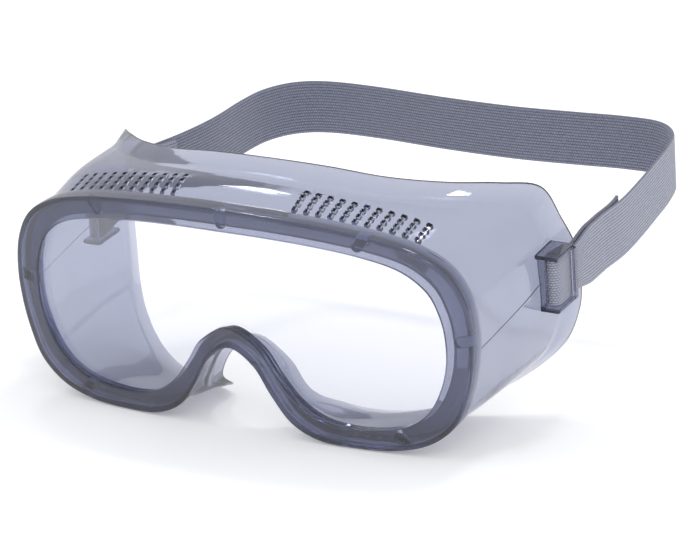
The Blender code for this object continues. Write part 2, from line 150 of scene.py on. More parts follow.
def add_camera():
    a, e = VIEW_AZIMUTH, VIEW_ELEVATION
    back = Vector((sin(a) * cos(e), -cos(a) * cos(e), sin(e)))
    right = Vector((cos(a), sin(a), 0))
    up = back.cross(right)
    turned_right = cos(VIEW_ROLL) * right + sin(VIEW_ROLL) * up
    turned_up = cos(VIEW_ROLL) * up - sin(VIEW_ROLL) * right
    place = VIEW_MIDDLE + turned_right * AIM_ACROSS + turned_up * AIM_UP + back * VIEW_DISTANCE
    data = bpy.data.cameras.new("camera")
    data.lens = FOCAL_LENGTH
    data.sensor_width = SENSOR
    data.clip_start = NEAREST
    data.clip_end = FURTHEST
    camera = link(bpy.data.objects.new("camera", data))
    axes = Matrix((turned_right, turned_up, back)).transposed()
    camera.matrix_world = Matrix.Translation(place) @ axes.to_4x4()
    bpy.context.scene.camera = camera
    return camera


camera = add_camera()
print("camera at", [round(v, 3) for v in camera.location])

# %% Floor and lights
FLOOR_SIZE = 6.0
FLOOR_DROP = 0.0002         # keeps the floor from lying in the plane of the rim's foot
ROOM_STRENGTH = 0.9
LIGHT_TARGET = (0, 0, 0.03)
# Name, place, size and power of each soft box, in metres and watts.
SOFT_BOXES = [("overhead_right", (0.12, 0.38, 1.1), (0.16, 0.16), 1.6),
              ("overhead_left", (-0.5, 0.35, 1.0), (0.14, 0.14), 1.0),
              ("front", (0.5, -1.0, 0.8), (0.5, 0.12), 1.5)]


def set_values(target, **values):
    """Sets a node's own sockets; an underscore in a name stands for a space."""
    for name, value in values.items():
        target.inputs[name.replace("_", " ")].default_value = value


def add_floor():
    bm = bmesh.new()
    bmesh.ops.create_grid(bm, x_segments=1, y_segments=1, size=FLOOR_SIZE / 2)
    mesh = bpy.data.meshes.new("floor")
    bm.to_mesh(mesh)
    bm.free()
    floor = link(bpy.data.objects.new("floor", mesh))
    floor.location.z = cad_low.z - FLOOR_DROP
    material = bpy.data.materials.new("pale_floor")
    material.use_nodes = True
    shader = material.node_tree.nodes["Principled BSDF"]
    set_values(shader, Base_Color=(0.92, 0.92, 0.925, 1), Roughness=0.9, Specular_IOR_Level=0.1,
               Emission_Color=(1, 1, 1, 1), Emission_Strength=0.22)
    mesh.materials.append(material)
    return floor


def add_soft_box(name, place, size, power):
    data = bpy.data.lights.new(name, "AREA")
    data.shape = "RECTANGLE"
    data.size, data.size_y = size
    data.energy = power
    light = link(bpy.data.objects.new(name, data))
    light.location = place
    aim = Vector(LIGHT_TARGET) - Vector(place)
    light.rotation_euler = aim.to_track_quat("-Z", "Y").to_euler()
    return light


def light_studio():
    world = bpy.data.worlds.new("studio")
    world.use_nodes = True
    set_values(world.node_tree.nodes["Background"], Color=(0.97, 0.98, 1.0, 1),
               Strength=ROOM_STRENGTH)
    bpy.context.scene.world = world
    for soft_box_values in SOFT_BOXES:
        add_soft_box(*soft_box_values)
    bpy.context.scene.view_settings.view_transform = "Standard"


add_floor()
light_studio()
print("floor,", len(SOFT_BOXES), "soft boxes and a bright room")

# %% [markdown]
# ## The moulded body
# The real body is one shot of soft PVC: a thick rim with a groove for the lens, and a thin
# wall that runs back from it and turns out in a flange against the face.  Every slice through
# it looks alike, so the shape is a closed section swept round the face opening.  The outlines
# are half tables, mirrored, and a smooth curve runs through their points.

# %% Outlines
RIM = [(0, .950), (.224, .938), (.447, .905), (.646, .845), (.801, .750), (.913, .592),
       (.976, .358), (1, .085), (.996, -.202), (.969, -.487), (.917, -.756), (.814, -.944),
       (.671, -1.035), (.509, -1.050), (.360, -1.025), (.248, -.903), (.168, -.677),
       (.099, -.430), (0, -.296)]
APERTURE = [(0, .750), (.199, .745), (.398, .720), (.584, .669), (.733, .581), (.832, .419),
            (.877, .215), (.894, .013), (.892, -.215), (.865, -.444), (.810, -.661),
            (.720, -.804), (.602, -.863), (.478, -.871), (.360, -.817), (.265, -.672),
            (.193, -.468), (.124, -.253), (0, -.108)]
# The third value of the rear edge is how far it steps forward, most of all to clear the nose.
EDGE = [(0, 1.068, 0), (.248, 1.056, 1.6), (.472, .972, 2.4), (.675, .900, 3.2),
        (.826, .826, 2), (.936, .708, .7), (.984, .376, 0), (1.017, .081, 0),
        (EDGE_SPREAD, -.215, 0), (1.019, -.497, 0), (.975, -.780, 0), (.857, -1.000, 0),
        (.696, -1.151, 0), (.509, -1.210, 0), (.348, -1.195, 0), (.242, -1.089, 3),
        (.193, -.833, 14.5), (.124, -.565, 15.5), (0, -.376, 16)]
STATIONS_PER_SPAN = 8


def smooth_point(p0, p1, p2, p3, t):
    """A point on the Catmull-Rom curve between p1 and p2."""
    return 0.5 * (2 * p1 + (p2 - p0) * t + (2 * p0 - 5 * p1 + 4 * p2 - p3) * t ** 2
                  + (3 * p1 - p0 - 3 * p2 + p3) * t ** 3)


def smooth_path(points, steps):
    ends = [2 * points[0] - points[1], *points, 2 * points[-1] - points[-2]]
    path = [smooth_point(*ends[i:i + 4], k / steps)
            for i in range(len(points) - 1) for k in range(steps)]
    return path + [points[-1]]


def closed_loop(half):
    """The full outline from its half, mirrored across x = 0."""
    ring = half + [Vector((-p.x, p.y, p.z)) for p in half[-2:0:-1]]
    count = len(ring)
    return [smooth_point(ring[i - 1], ring[i], ring[(i + 1) % count], ring[(i + 2) % count],
                         k / STATIONS_PER_SPAN)
            for i in range(count) for k in range(STATIONS_PER_SPAN)]


def bow(x):
    """How far the bow sets the rim back, at one side-to-side place."""
    return x * x / (2 * BOW_RADIUS)


def front_outline(table):
    half = [Vector((x * RIM_WIDTH / 2, bow(x * RIM_WIDTH / 2), z * RIM_HEIGHT / 2))
            for x, z in table]
    return closed_loop(half)


def rear_outline():
    half = []
    for across, up, forward in EDGE:
        x = across * RIM_WIDTH / 2
        half.append(Vector((x, face_depth(x) - forward, up * RIM_HEIGHT / 2)))
    return closed_loop(half)


rim = front_outline(RIM)
aperture = front_outline(APERTURE)
rear_edge = rear_outline()
STATIONS = len(rim)
print(STATIONS, "stations round the opening")

# %% [markdown]
# ### The section
# Each corner of the section gets its own radius, as the mould's cutter would leave it: a soft
# round on the rim's front, tight corners in the lens groove and a wide bend at the flange.
# The same number of points in every section is what lets them join into clean quads.

# %% Section of the moulding
RIM_DEPTH = 6.6             # front to back
LIP = 1.9                   # thickness of the rim in front of the lens
GROOVE_WALL = 2.0           # rim material outside the lens edge
LENS_THICKNESS = 2.0
FIT_GAP = 0.3
REAR_LIP_CUT = 1.2          # how much less the rear lip covers the lens than the front one
RIM_STEP = 1.1              # from the outside of the rim in to the wall
WALL = 1.8
FLANGE = 1.2
FLANGE_WIDTH = 9.4
CREASE_LIMIT = 0.5          # the flange takes no more than this share of the way to the rim
CREASE_INSET = 1.7          # how far the wall pinches in before the flange
TOP_PINCH = 0.3             # share of that pinch in the middle of the brow
CROWN = 1.9                 # how far the wall swells outwards half way back
SIDE_CROWN = 0.35           # share of that swelling on a wall that faces sideways

RIM_ROUND = 1.1
OPENING_ROUND = 0.7
LIP_ROUND = 0.3
GROOVE_ROUND = 0.2
STEP_ROUND = 0.6
ROOT_ROUND_IN = 1.2
ROOT_ROUND_OUT = 0.8
CROWN_ROUND = 7.0
CREASE_ROUND_IN = 2.5
CREASE_ROUND_OUT = 1.6
EDGE_ROUND = 0.35
CORNER_LIMIT = 0.45         # a corner takes no more than this share of either side
CORNER_STEPS = 4


def inward_directions(ring):
    """At each station, the direction from the ring in towards the opening."""
    result = []
    for i in range(len(ring)):
        along = ring[(i + 1) % len(ring)] - ring[i - 1]
        result.append(Vector((along.z, 0, -along.x)).normalized())
    return result


inward = inward_directions(rear_edge)


def crease_point(i):
    """Where the wall bends into the flange, on its outer side."""
    start = rim[i] + Vector((0, RIM_DEPTH, 0))
    share = min(FLANGE_WIDTH / (rear_edge[i] - start).length, CREASE_LIMIT)
    side = abs(rear_edge[i].x) / (RIM_WIDTH / 2)
    pinch = TOP_PINCH + (1 - TOP_PINCH) * side
    return rear_edge[i].lerp(start, share) + inward[i] * CREASE_INSET * pinch


crease = [crease_point(i) for i in range(STATIONS)]


def rim_point(i, depth, inset):
    """A point of the rim: behind its front face by depth, in from its outside by inset."""
    point = rim[i] + (aperture[i] - rim[i]).normalized() * inset
    point.y = bow(point.x) + depth
    return point


def crown_point(i):
    """The outside of the wall half way back, swollen most where the wall faces up."""
    root = rim_point(i, RIM_DEPTH + WALL / 2, RIM_STEP)
    facing_up = max(0.0, -inward[i].z)
    swelling = CROWN * (SIDE_CROWN + (1 - SIDE_CROWN) * facing_up)
    return (root + crease[i]) / 2 - inward[i] * swelling


crown = [crown_point(i) for i in range(STATIONS)]


def section_corners(i):
    """Corners of the closed section at one station, each with its radius."""
    band = (aperture[i] - rim[i]).length
    groove_back = LIP + LENS_THICKNESS + 2 * FIT_GAP
    return [
        (rim_point(i, 0, 0), RIM_ROUND),
        (rim_point(i, 0, band), OPENING_ROUND),
        (rim_point(i, LIP, band), LIP_ROUND),
        (rim_point(i, LIP, GROOVE_WALL), GROOVE_ROUND),
        (rim_point(i, groove_back, GROOVE_WALL), GROOVE_ROUND),
        (rim_point(i, groove_back, band - REAR_LIP_CUT), LIP_ROUND),
        (rim_point(i, RIM_DEPTH, band - REAR_LIP_CUT), STEP_ROUND),
        (rim_point(i, RIM_DEPTH + WALL, RIM_STEP + WALL), ROOT_ROUND_IN),
        (crown[i] + inward[i] * WALL, CROWN_ROUND),
        (crease[i] + inward[i] * WALL, CREASE_ROUND_IN),
        (rear_edge[i] + inward[i] * FLANGE, EDGE_ROUND),
        (rear_edge[i], EDGE_ROUND),
        (crease[i], CREASE_ROUND_OUT),
        (crown[i], CROWN_ROUND),
        (rim_point(i, RIM_DEPTH + WALL / 2, RIM_STEP), ROOT_ROUND_OUT),
        (rim_point(i, RIM_DEPTH, 0), STEP_ROUND),
    ]


def rounded(corners):
    """The closed section with every corner turned into a short parabola."""
    count = len(corners)
    result = []
    for k, (corner, radius) in enumerate(corners):
        before = corners[k - 1][0] - corner
        after = corners[(k + 1) % count][0] - corner
        a = corner + before.normalized() * min(radius, before.length * CORNER_LIMIT)
        b = corner + after.normalized() * min(radius, after.length * CORNER_LIMIT)
        for step in range(CORNER_STEPS + 1):
            t = step / CORNER_STEPS
            result.append(a * (1 - t) ** 2 + corner * (2 * t * (1 - t)) + b * t ** 2)
    return result


print(len(rounded(section_corners(0))), "points in a section")

# %% Sweep the section round the opening


def mesh_object(name, bm):
    """A new object from a drawing in millimetres, stood up in the model's frame."""
    bmesh.ops.transform(bm, matrix=STAND, verts=bm.verts)
    bmesh.ops.recalc_face_normals(bm, faces=bm.faces)
    if all(edge.is_manifold for edge in bm.edges) and bm.calc_volume(signed=True) < 0:
        bmesh.ops.reverse_faces(bm, faces=bm.faces)
    mesh = bpy.data.meshes.new(name)
    bm.to_mesh(mesh)
    bm.free()
    return link(bpy.data.objects.new(name, mesh))


def sweep_rows(bm, rows, closed_rows=True):
    """Quads between neighbouring rows of points; each row is a closed ring."""
    made = [[bm.verts.new(p) for p in row] for row in rows]
    pairs = list(zip(made, made[1:])) + ([(made[-1], made[0])] if closed_rows else [])
    for row, after in pairs:
        for k in range(len(row)):
            bm.faces.new((row[k - 1], row[k], after[k], after[k - 1]))
    return made


def body_ring():
    bm = bmesh.new()
    sweep_rows(bm, [rounded(section_corners(i)) for i in range(STATIONS)])
    return mesh_object("moulded_body", bm)


body = body_ring()
print("moulded body ring:", len(body.data.polygons), "faces")

# %% [markdown]
# ## Joining and cutting
# Holes, pips and brackets are separate closed shapes, and Boolean modifiers melt them into the
# moulding or out of it.  The holes come first, while the ring is still a clean grid of quads,
# and points that a cut leaves almost on top of each other are welded after each step.

# %% Tools that join and cut
WELD_DISTANCE = 0.000004    # metres


def solid_result(obj):
    """Applies an object's modifiers and leaves a plain mesh."""
    graph = bpy.context.evaluated_depsgraph_get()
    mesh = bpy.data.meshes.new_from_object(obj.evaluated_get(graph))
    obj.modifiers.clear()
    obj.data = mesh
    return obj


def welded(obj):
    """Merges points that a cut left almost on top of each other."""
    bm = bmesh.new()
    bm.from_mesh(obj.data)
    bmesh.ops.remove_doubles(bm, verts=bm.verts, dist=WELD_DISTANCE)
    bmesh.ops.dissolve_degenerate(bm, edges=bm.edges, dist=WELD_DISTANCE)
    bm.to_mesh(obj.data)
    bm.free()
    return obj


def boolean(obj, tool, operation):
    """Joins a tool to an object or cuts it out, and removes the tool."""
    modifier = obj.modifiers.new(tool.name, "BOOLEAN")
    modifier.operation = operation
    modifier.solver = "EXACT"
    modifier.object = tool
    welded(solid_result(obj))
    bpy.data.objects.remove(tool, do_unlink=True)


def add_box(bm, low, high):
    low, high = Vector(low), Vector(high)
    matrix = Matrix.Translation((low + high) / 2) @ Matrix.Diagonal((*(high - low), 1))
    return bmesh.ops.create_cube(bm, size=1, matrix=matrix)["verts"]


# %% [markdown]
# ## Vents
# Square holes through the top wall and the cheeks let warm air out.  They repeat on a grid
# that follows the bow of the rim, which is a job for Geometry Nodes: one square prism,
# instanced on a grid of points, becomes the cutter for a whole field.

# %% Helpers that build node trees


def node(tree, kind, **values):
    made = tree.nodes.new(kind)
    for key, value in values.items():
        setattr(made, key, value)
    return made


def set_input(modifier, tree, name, value):
    """Sets a named input of the tree on the modifier, by the socket's identifier."""
    socket = next(s for s in tree.interface.items_tree
                  if s.item_type == "SOCKET" and s.in_out == "INPUT" and s.name == name)
    modifier[socket.identifier] = value


def calculate(tree, operation, a, b=0.0):
    """A Math node on two numbers or sockets; gives its result."""
    made = node(tree, "ShaderNodeMath", operation=operation)
    for socket, value in zip(made.inputs, (a, b)):
        if isinstance(value, (int, float)):
            socket.default_value = value
        else:
            tree.links.new(value, socket)
    return made.outputs[0]


def new_tree(name, sockets):
    """A geometry tree with the named inputs, and its first and last nodes."""
    tree = bpy.data.node_groups.new(name, "GeometryNodeTree")
    face = tree.interface
    face.new_socket("Geometry", in_out="INPUT", socket_type="NodeSocketGeometry")
    for kind, names in sockets.items():
        for socket in names:
            face.new_socket(socket, in_out="INPUT", socket_type="NodeSocket" + kind)
    face.new_socket("Geometry", in_out="OUTPUT", socket_type="NodeSocketGeometry")
    return tree, node(tree, "NodeGroupInput"), node(tree, "NodeGroupOutput")


def finish_tree(tree, enter, leave, geometry):
    """Makes instances real, gives them the tree's material and hands them out."""
    real = node(tree, "GeometryNodeRealizeInstances")
    paint = node(tree, "GeometryNodeSetMaterial")
    tree.links.new(geometry, real.inputs[0])
    tree.links.new(real.outputs[0], paint.inputs["Geometry"])
    tree.links.new(enter.outputs["Material"], paint.inputs["Material"])
    tree.links.new(paint.outputs[0], leave.inputs[0])


# %% A node tree that lays out a field of square cutters


def vent_field_tree():
    tree, enter, leave = new_tree("vent_field", {
        "Float": ("First X", "Pitch X", "First Y", "Pitch Y", "Size", "Height", "Bow Radius"),
        "Int": ("Columns", "Rows"), "Material": ("Material",)})
    join = tree.links.new
    math = partial(calculate, tree)
    count = math("MULTIPLY", enter.outputs["Columns"], enter.outputs["Rows"])
    points = node(tree, "GeometryNodePoints")
    join(count, points.inputs["Count"])
    index = node(tree, "GeometryNodeInputIndex").outputs[0]
    column = math("FLOOR", math("DIVIDE", index, enter.outputs["Rows"]))
    row = math("MODULO", index, enter.outputs["Rows"])
    x = math("ADD", enter.outputs["First X"], math("MULTIPLY", column, enter.outputs["Pitch X"]))
    bend = math("DIVIDE", math("MULTIPLY", x, x), math("MULTIPLY", enter.outputs["Bow Radius"], 2))
    along = math("ADD", enter.outputs["First Y"],
                 math("MULTIPLY", row, enter.outputs["Pitch Y"]))
    place = node(tree, "ShaderNodeCombineXYZ")
    join(x, place.inputs["X"])
    join(math("ADD", along, bend), place.inputs["Y"])
    join(place.outputs[0], points.inputs["Position"])
    prism = node(tree, "GeometryNodeMeshCube")
    size = node(tree, "ShaderNodeCombineXYZ")
    for axis, name in zip("XYZ", ("Size", "Size", "Height")):
        join(enter.outputs[name], size.inputs[axis])
    join(size.outputs[0], prism.inputs["Size"])
    copies = node(tree, "GeometryNodeInstanceOnPoints")
    join(points.outputs[0], copies.inputs["Points"])
    join(prism.outputs["Mesh"], copies.inputs["Instance"])
    finish_tree(tree, enter, leave, copies.outputs[0])
    return tree


vent_tree = vent_field_tree()
print("vent tree:", len(vent_tree.nodes), "nodes")

# %% Cut the vents
VENT_SIZE = 1.5
VENT_PITCH_X = 3.95
VENT_PITCH_Y = 2.65
VENT_COLUMNS = 11
VENT_ROWS = 4
VENT_FIRST_X = 21.2
VENT_FIRST_Y = 3.4
DRAIN_SIZE = 1.5
DRAIN_PITCH = 3.8
DRAIN_COUNT = 7
DRAIN_FIRST_X = 34.0
DRAIN_Y = 4.4
VENT_CUT = (0.3, 0.65)      # the cutters reach between these shares of the rim's height
DRAIN_CUT = (-0.7, -0.25)


def vent_cutter(name, side, values, low, high):
    """A field of square prisms on one side, between two heights."""
    obj = link(bpy.data.objects.new(name, bpy.data.meshes.new(name)))
    modifier = obj.modifiers.new("field", "NODES")
    modifier.node_group = vent_tree
    for key, value in values.items():
        set_input(modifier, vent_tree, key, value)
    set_input(modifier, vent_tree, "Height", high - low)
    set_input(modifier, vent_tree, "Bow Radius", BOW_RADIUS)
    solid_result(obj)
    bm = bmesh.new()
    bm.from_mesh(obj.data)
    bmesh.ops.translate(bm, vec=(0, 0, (high + low) / 2), verts=bm.verts)
    bmesh.ops.scale(bm, vec=(side, 1, 1), verts=bm.verts)
    bpy.data.objects.remove(obj, do_unlink=True)
    return mesh_object(name, bm)


top_field = {"First X": VENT_FIRST_X, "Pitch X": VENT_PITCH_X, "Columns": VENT_COLUMNS,
             "First Y": RIM_DEPTH + VENT_FIRST_Y, "Pitch Y": VENT_PITCH_Y, "Rows": VENT_ROWS,
             "Size": VENT_SIZE}
drain_row = {"First X": DRAIN_FIRST_X, "Pitch X": DRAIN_PITCH, "Columns": DRAIN_COUNT,
             "First Y": RIM_DEPTH + DRAIN_Y, "Pitch Y": 0.0, "Rows": 1, "Size": DRAIN_SIZE}
for side in (1, -1):
    for name, values, cut in (("top_vents", top_field, VENT_CUT),
                              ("drains", drain_row, DRAIN_CUT)):
        low, high = (RIM_HEIGHT * share for share in cut)
        boolean(body, vent_cutter(name, side, values, low, high), "DIFFERENCE")
tallest = max((STAND.inverted() @ v.co).z for v in body.data.vertices)
print(f"vents cut: {len(body.data.polygons)} faces, the tallest point {tallest:.1f} mm up")

# %% [markdown]
# ## Locking pips and brackets
# Tongues of the rim drop into notches in the lens edge and stop it turning.  Two brackets
# carry the strap: two plates tied by a root web, a bar that the strap turns round and a keeper
# bar outside it.  They are closed shapes that Boolean unions melt together, one at a time.

# %% Pips that lock the lens
PIP_SHARES = (0, 0.15, 0.405, 0.645)    # of the way from the brow down one side to the nose
PIP_WIDTH = 3.4
PIP_LENGTH = 4.6
PIP_ROOT = 0.8              # how far a pip reaches into the rim
ARC_STEPS = 10


def pip_stations():
    """The stations that carry a pip, on both sides."""
    half = STATIONS // 2
    stations = [round(share * half) for share in PIP_SHARES]
    return stations + [STATIONS - s for s in stations if s]


def tongue_outline(i, width, length):
    """A tongue with a round end, from the groove floor towards the opening."""
    root = rim_point(i, 0, GROOVE_WALL)
    into = (aperture[i] - rim[i]).normalized()
    into.y = 0
    side = Vector((into.z, 0, -into.x))
    middle = root + into * (length - width / 2)
    points = [root - into * PIP_ROOT - side * width / 2, root - into * PIP_ROOT + side * width / 2]
    for k in range(ARC_STEPS + 1):
        angle = pi * k / ARC_STEPS
        points.append(middle + side * (cos(angle) * width / 2) + into * (sin(angle) * width / 2))
    return points


def add_prism(bm, outline, front, back):
    """A closed prism along y from an outline that follows the bow."""
    near = [bm.verts.new((p.x, bow(p.x) + front, p.z)) for p in outline]
    far = [bm.verts.new((p.x, bow(p.x) + back, p.z)) for p in outline]
    bm.faces.new(near)
    bm.faces.new(far[::-1])
    for k in range(len(outline)):
        bm.faces.new((near[k - 1], near[k], far[k], far[k - 1]))


def pip_prisms(name, spare, front, back):
    """All the pips as prisms, grown by some spare width."""
    bm = bmesh.new()
    for i in pip_stations():
        outline = tongue_outline(i, PIP_WIDTH + 2 * spare, PIP_LENGTH + spare)
        add_prism(bm, outline, front, back)
    return mesh_object(name, bm)


boolean(body, pip_prisms("pips", 0, LIP / 2, LIP + LENS_THICKNESS + 3 * FIT_GAP), "UNION")
print(len(pip_stations()), "pips joined to the rim")

# %% Strap brackets
STRAP_WIDTH = 19.0
SQUEEZED_WIDTH = 15.2       # where it bunches up inside a bracket
STRAP_THICKNESS = 1.1
BRACKET_AHEAD = 23.8        # front of the strap's turn, ahead of the widest edge
LOOP_FRONT = face_depth(WIDEST_EDGE) - BRACKET_AHEAD
BAR_THICKNESS = 2.2
BAR_SIDES = 24
BAR_DEPTH = 0.8             # the bar's flat rail, behind its round front
PLATE = 1.4
PLATE_LENGTH = 12.0
ROOT_WEB = 1.0
ROOT_REACH = 2.2            # how far the web stands off the wall
ROOT_BITE = WALL / 3        # how far a bracket reaches into the wall
EDGE_GAP = 0.5              # from the widest edge out to the strap's inner layer
KEEPER = 1.3
KEEPER_LENGTH = 2.2
SLIDE_GAP = 0.35
TAIL_GAP = 0.6              # between the two layers of the strap
TAIL_X = WIDEST_EDGE + EDGE_GAP + STRAP_THICKNESS / 2
STRAP_X = TAIL_X + TAIL_GAP + STRAP_THICKNESS
BRACKET_ROUND = 0.3
ROUND_STEPS = 2
HIDDEN_STEP = 0.02          # keeps two joined faces from lying in one plane
SIDE_STATIONS = range(STATIONS // 8, STATIONS // 3)


def side_wall_x(y, z):
    """Outside of the wall on the side where x is positive, at one height and depth."""
    i = min(SIDE_STATIONS, key=lambda k: abs(crease[k].z - z))
    start, end = crown[i], crease[i]
    return start.x + (end.x - start.x) * (y - start.y) / (end.y - start.y)


def soft_box(bm, low, high):
    """A box with its edges rounded as a soft moulding's are."""
    verts = add_box(bm, low, high)
    edges = {e for v in verts for e in v.link_edges}
    bmesh.ops.bevel(bm, geom=list(edges), offset=BRACKET_ROUND, segments=ROUND_STEPS,
                    affect="EDGES")


def bracket(side):
    """One bracket: a round bar, and the boxes that are joined to it one by one."""
    window = SQUEEZED_WIDTH / 2 + SLIDE_GAP
    layer = STRAP_THICKNESS / 2 + FIT_GAP
    front = LOOP_FRONT - STRAP_THICKNESS / 2 - SLIDE_GAP
    back = front + PLATE_LENGTH
    keeper_x = STRAP_X + layer
    bar_x = STRAP_X - layer - BAR_THICKNESS / 2
    turn_y = LOOP_FRONT + layer + BAR_THICKNESS / 2
    reach = window + PLATE / 2
    rail = BAR_THICKNESS / 2 - HIDDEN_STEP
    root = side_wall_x(front, 0)
    boxes = [((root - ROOT_BITE, front - ROOT_WEB + HIDDEN_STEP, -reach),
              (root + ROOT_REACH, front, reach)),
             ((keeper_x, back - KEEPER_LENGTH, -reach),
              (keeper_x + KEEPER, back - HIDDEN_STEP, reach)),
             ((bar_x - rail, turn_y, HIDDEN_STEP - reach),
              (bar_x + rail, turn_y + BAR_DEPTH, reach - HIDDEN_STEP))]
    for end in (-1, 1):
        z = sorted((end * window, end * (window + PLATE)))
        wall = min(side_wall_x(y, end * window) for y in (front, back)) - ROOT_BITE
        boxes.append(((wall, front - ROOT_WEB, z[0]), (keeper_x + KEEPER / 2, back, z[1])))
    flip = Vector((side, 1, 1))
    bm = bmesh.new()
    bmesh.ops.create_cone(bm, cap_ends=True, segments=BAR_SIDES, depth=2 * reach,
                          radius1=BAR_THICKNESS / 2, radius2=BAR_THICKNESS / 2,
                          matrix=Matrix.Translation((bar_x, turn_y, 0)))
    bmesh.ops.scale(bm, vec=flip, verts=bm.verts)
    whole = mesh_object("bracket", bm)
    for low, high in boxes:
        bm = bmesh.new()
        soft_box(bm, low, high)
        bmesh.ops.scale(bm, vec=flip, verts=bm.verts)
        boolean(whole, mesh_object("bracket_member", bm), "UNION")
    return whole


for side in (1, -1):
    boolean(body, bracket(side), "UNION")
print("brackets joined:", len(body.data.polygons), "faces")

# %% [markdown]
# ## Parting lines
# Where the two halves of the mould met, a thin raised line runs forward from each bracket to
# the rim.  A ray shot at the finished wall finds where each point of the line belongs, so the
# bead follows the wall however it curves.

# %% Beads laid on the surface
BEAD_RADIUS = 0.22
BEAD_SUNK = 0.08            # how far its middle lies under the surface
BEAD_SIDES = 8
BEAD_STEP = 1.5             # between two points of its path
PARTING_DROP = 5.0          # from the bracket down to the line's front end


def point_on_body(start, direction):
    """Where a ray through the upright drawing meets the body, in the drawing's millimetres."""
    origin = STAND @ start
    target = STAND @ (start + direction)
    place = body.ray_cast(origin, (target - origin).normalized())[1]
    return STAND.inverted() @ place + direction * BEAD_SUNK


def bead(name, points):
    """A thin round tube through the points."""
    bm = bmesh.new()
    rows = []
    for i, point in enumerate(points):
        along = (points[min(i + 1, len(points) - 1)] - points[max(i - 1, 0)]).normalized()
        side = along.cross(Vector((0, 0, 1))).normalized()
        up = side.cross(along)
        angles = [2 * pi * k / BEAD_SIDES for k in range(BEAD_SIDES)]
        rows.append([point + (side * cos(a) + up * sin(a)) * BEAD_RADIUS for a in angles])
    made = sweep_rows(bm, rows, closed_rows=False)
    bm.faces.new(made[0])
    bm.faces.new(made[-1][::-1])
    return mesh_object(name, bm)


def parting_line(side):
    """A bead from the root of a bracket forward to the rim."""
    start = Vector((side * RIM_WIDTH, LOOP_FRONT - ROOT_WEB, 0))
    end = Vector((side * RIM_WIDTH, RIM_DEPTH + WALL + bow(RIM_WIDTH / 2), -PARTING_DROP))
    steps = round((end - start).length / BEAD_STEP)
    points = [point_on_body(start.lerp(end, k / steps), Vector((-side, 0, 0)))
              for k in range(steps + 1)]
    return bead("parting_line", points)


for side in (1, -1):
    boolean(body, parting_line(side), "UNION")
print("parting lines joined:", len(body.data.polygons), "faces")

# %% [markdown]
# ## Clear PVC
# Soft PVC is tinted right through, so its colour depends on how much of it the light crosses:
# pale in a thin wall, nearly navy along the thick rim.  A smooth, see-through Principled
# surface with a Volume Absorption inside gives that for free, and needs no painted shading.

# %% Materials for the plastics


def new_material(name):
    material = bpy.data.materials.new(name)
    material.use_nodes = True
    return material, material.node_tree, material.node_tree.nodes["Principled BSDF"]


def noise_bump(tree, shader, scale, strength, distance):
    """A faint unevenness of the moulded surface."""
    place = node(tree, "ShaderNodeTexCoord")
    noise = node(tree, "ShaderNodeTexNoise")
    bump = node(tree, "ShaderNodeBump")
    set_values(noise, Scale=scale, Detail=2.0)
    set_values(bump, Strength=strength, Distance=distance)
    tree.links.new(place.outputs["Object"], noise.inputs["Vector"])
    tree.links.new(noise.outputs["Fac"], bump.inputs["Height"])
    tree.links.new(bump.outputs["Normal"], shader.inputs["Normal"])


def clear_pvc():
    material, tree, shader = new_material("clear_pvc")
    set_values(shader, Base_Color=(0.62, 0.63, 0.70, 1), Roughness=0.04, IOR=1.5,
               Transmission_Weight=0.93)
    noise_bump(tree, shader, scale=60.0, strength=0.15, distance=0.0006)
    depth = node(tree, "ShaderNodeVolumeAbsorption")
    set_values(depth, Color=(0.48, 0.515, 0.67, 1), Density=480.0)
    tree.links.new(depth.outputs[0], tree.nodes["Material Output"].inputs["Volume"])
    return material


def clear_lens():
    material, tree, shader = new_material("lens_polycarbonate")
    set_values(shader, Base_Color=(0.90, 0.91, 0.965, 1), Roughness=0.0, IOR=1.5,
               Transmission_Weight=1.0)
    return material


PVC = clear_pvc()
POLYCARBONATE = clear_lens()
print("clear PVC and polycarbonate")

# %% Finish the body
BODY_SHARP = 40             # degrees; an edge that turns more than this stays sharp


def finish_piece(obj, material, sharp_angle):
    obj.data.materials.clear()
    obj.data.materials.append(material)
    obj.data.shade_smooth()
    obj.data.set_sharp_from_angle(angle=radians(sharp_angle))
    return obj


finish_piece(body, PVC, BODY_SHARP)
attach(body, "goggles")
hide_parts("frame_body")
low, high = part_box("frame_body")
print("body:", len(body.data.polygons), "faces")
print("CAD node, mm:", [round(v * 1000, 1) for v in (*low, *high)])

# %% [markdown]
# ## The lens
# A flat blank of clear polycarbonate, die-cut with notches for the pips and bent to the rim's
# bow.  It is drawn flat, sliced into upright strips so that it can bend, then thickened and
# notched.  The same prisms that made the pips cut the notches, a little wider.

# %% Lens
LENS_STRIPS = 64
LENS_SHARP = 30


def make_lens():
    inset = GROOVE_WALL + FIT_GAP
    bm = bmesh.new()
    outline = [rim_point(i, 0, inset) for i in range(STATIONS)]
    bm.faces.new([bm.verts.new((p.x, 0, p.z)) for p in outline])
    for k in range(1, LENS_STRIPS):
        x = RIM_WIDTH * (k / LENS_STRIPS - 0.5)
        geometry = bm.verts[:] + bm.edges[:] + bm.faces[:]
        bmesh.ops.bisect_plane(bm, geom=geometry, plane_co=(x, 0, 0), plane_no=(1, 0, 0))
    bmesh.ops.remove_doubles(bm, verts=bm.verts, dist=FIT_GAP / 10)
    for vert in bm.verts:
        vert.co.y = bow(vert.co.x) + LIP + FIT_GAP + LENS_THICKNESS / 2
    lens = mesh_object("clear_lens", bm)
    solid = lens.modifiers.new("thickness", "SOLIDIFY")
    solid.thickness = LENS_THICKNESS * MM
    solid.offset = 0
    welded(solid_result(lens))
    boolean(lens, pip_prisms("notches", FIT_GAP / 2, -LIP, RIM_DEPTH), "DIFFERENCE")
    return finish_piece(lens, POLYCARBONATE, LENS_SHARP)


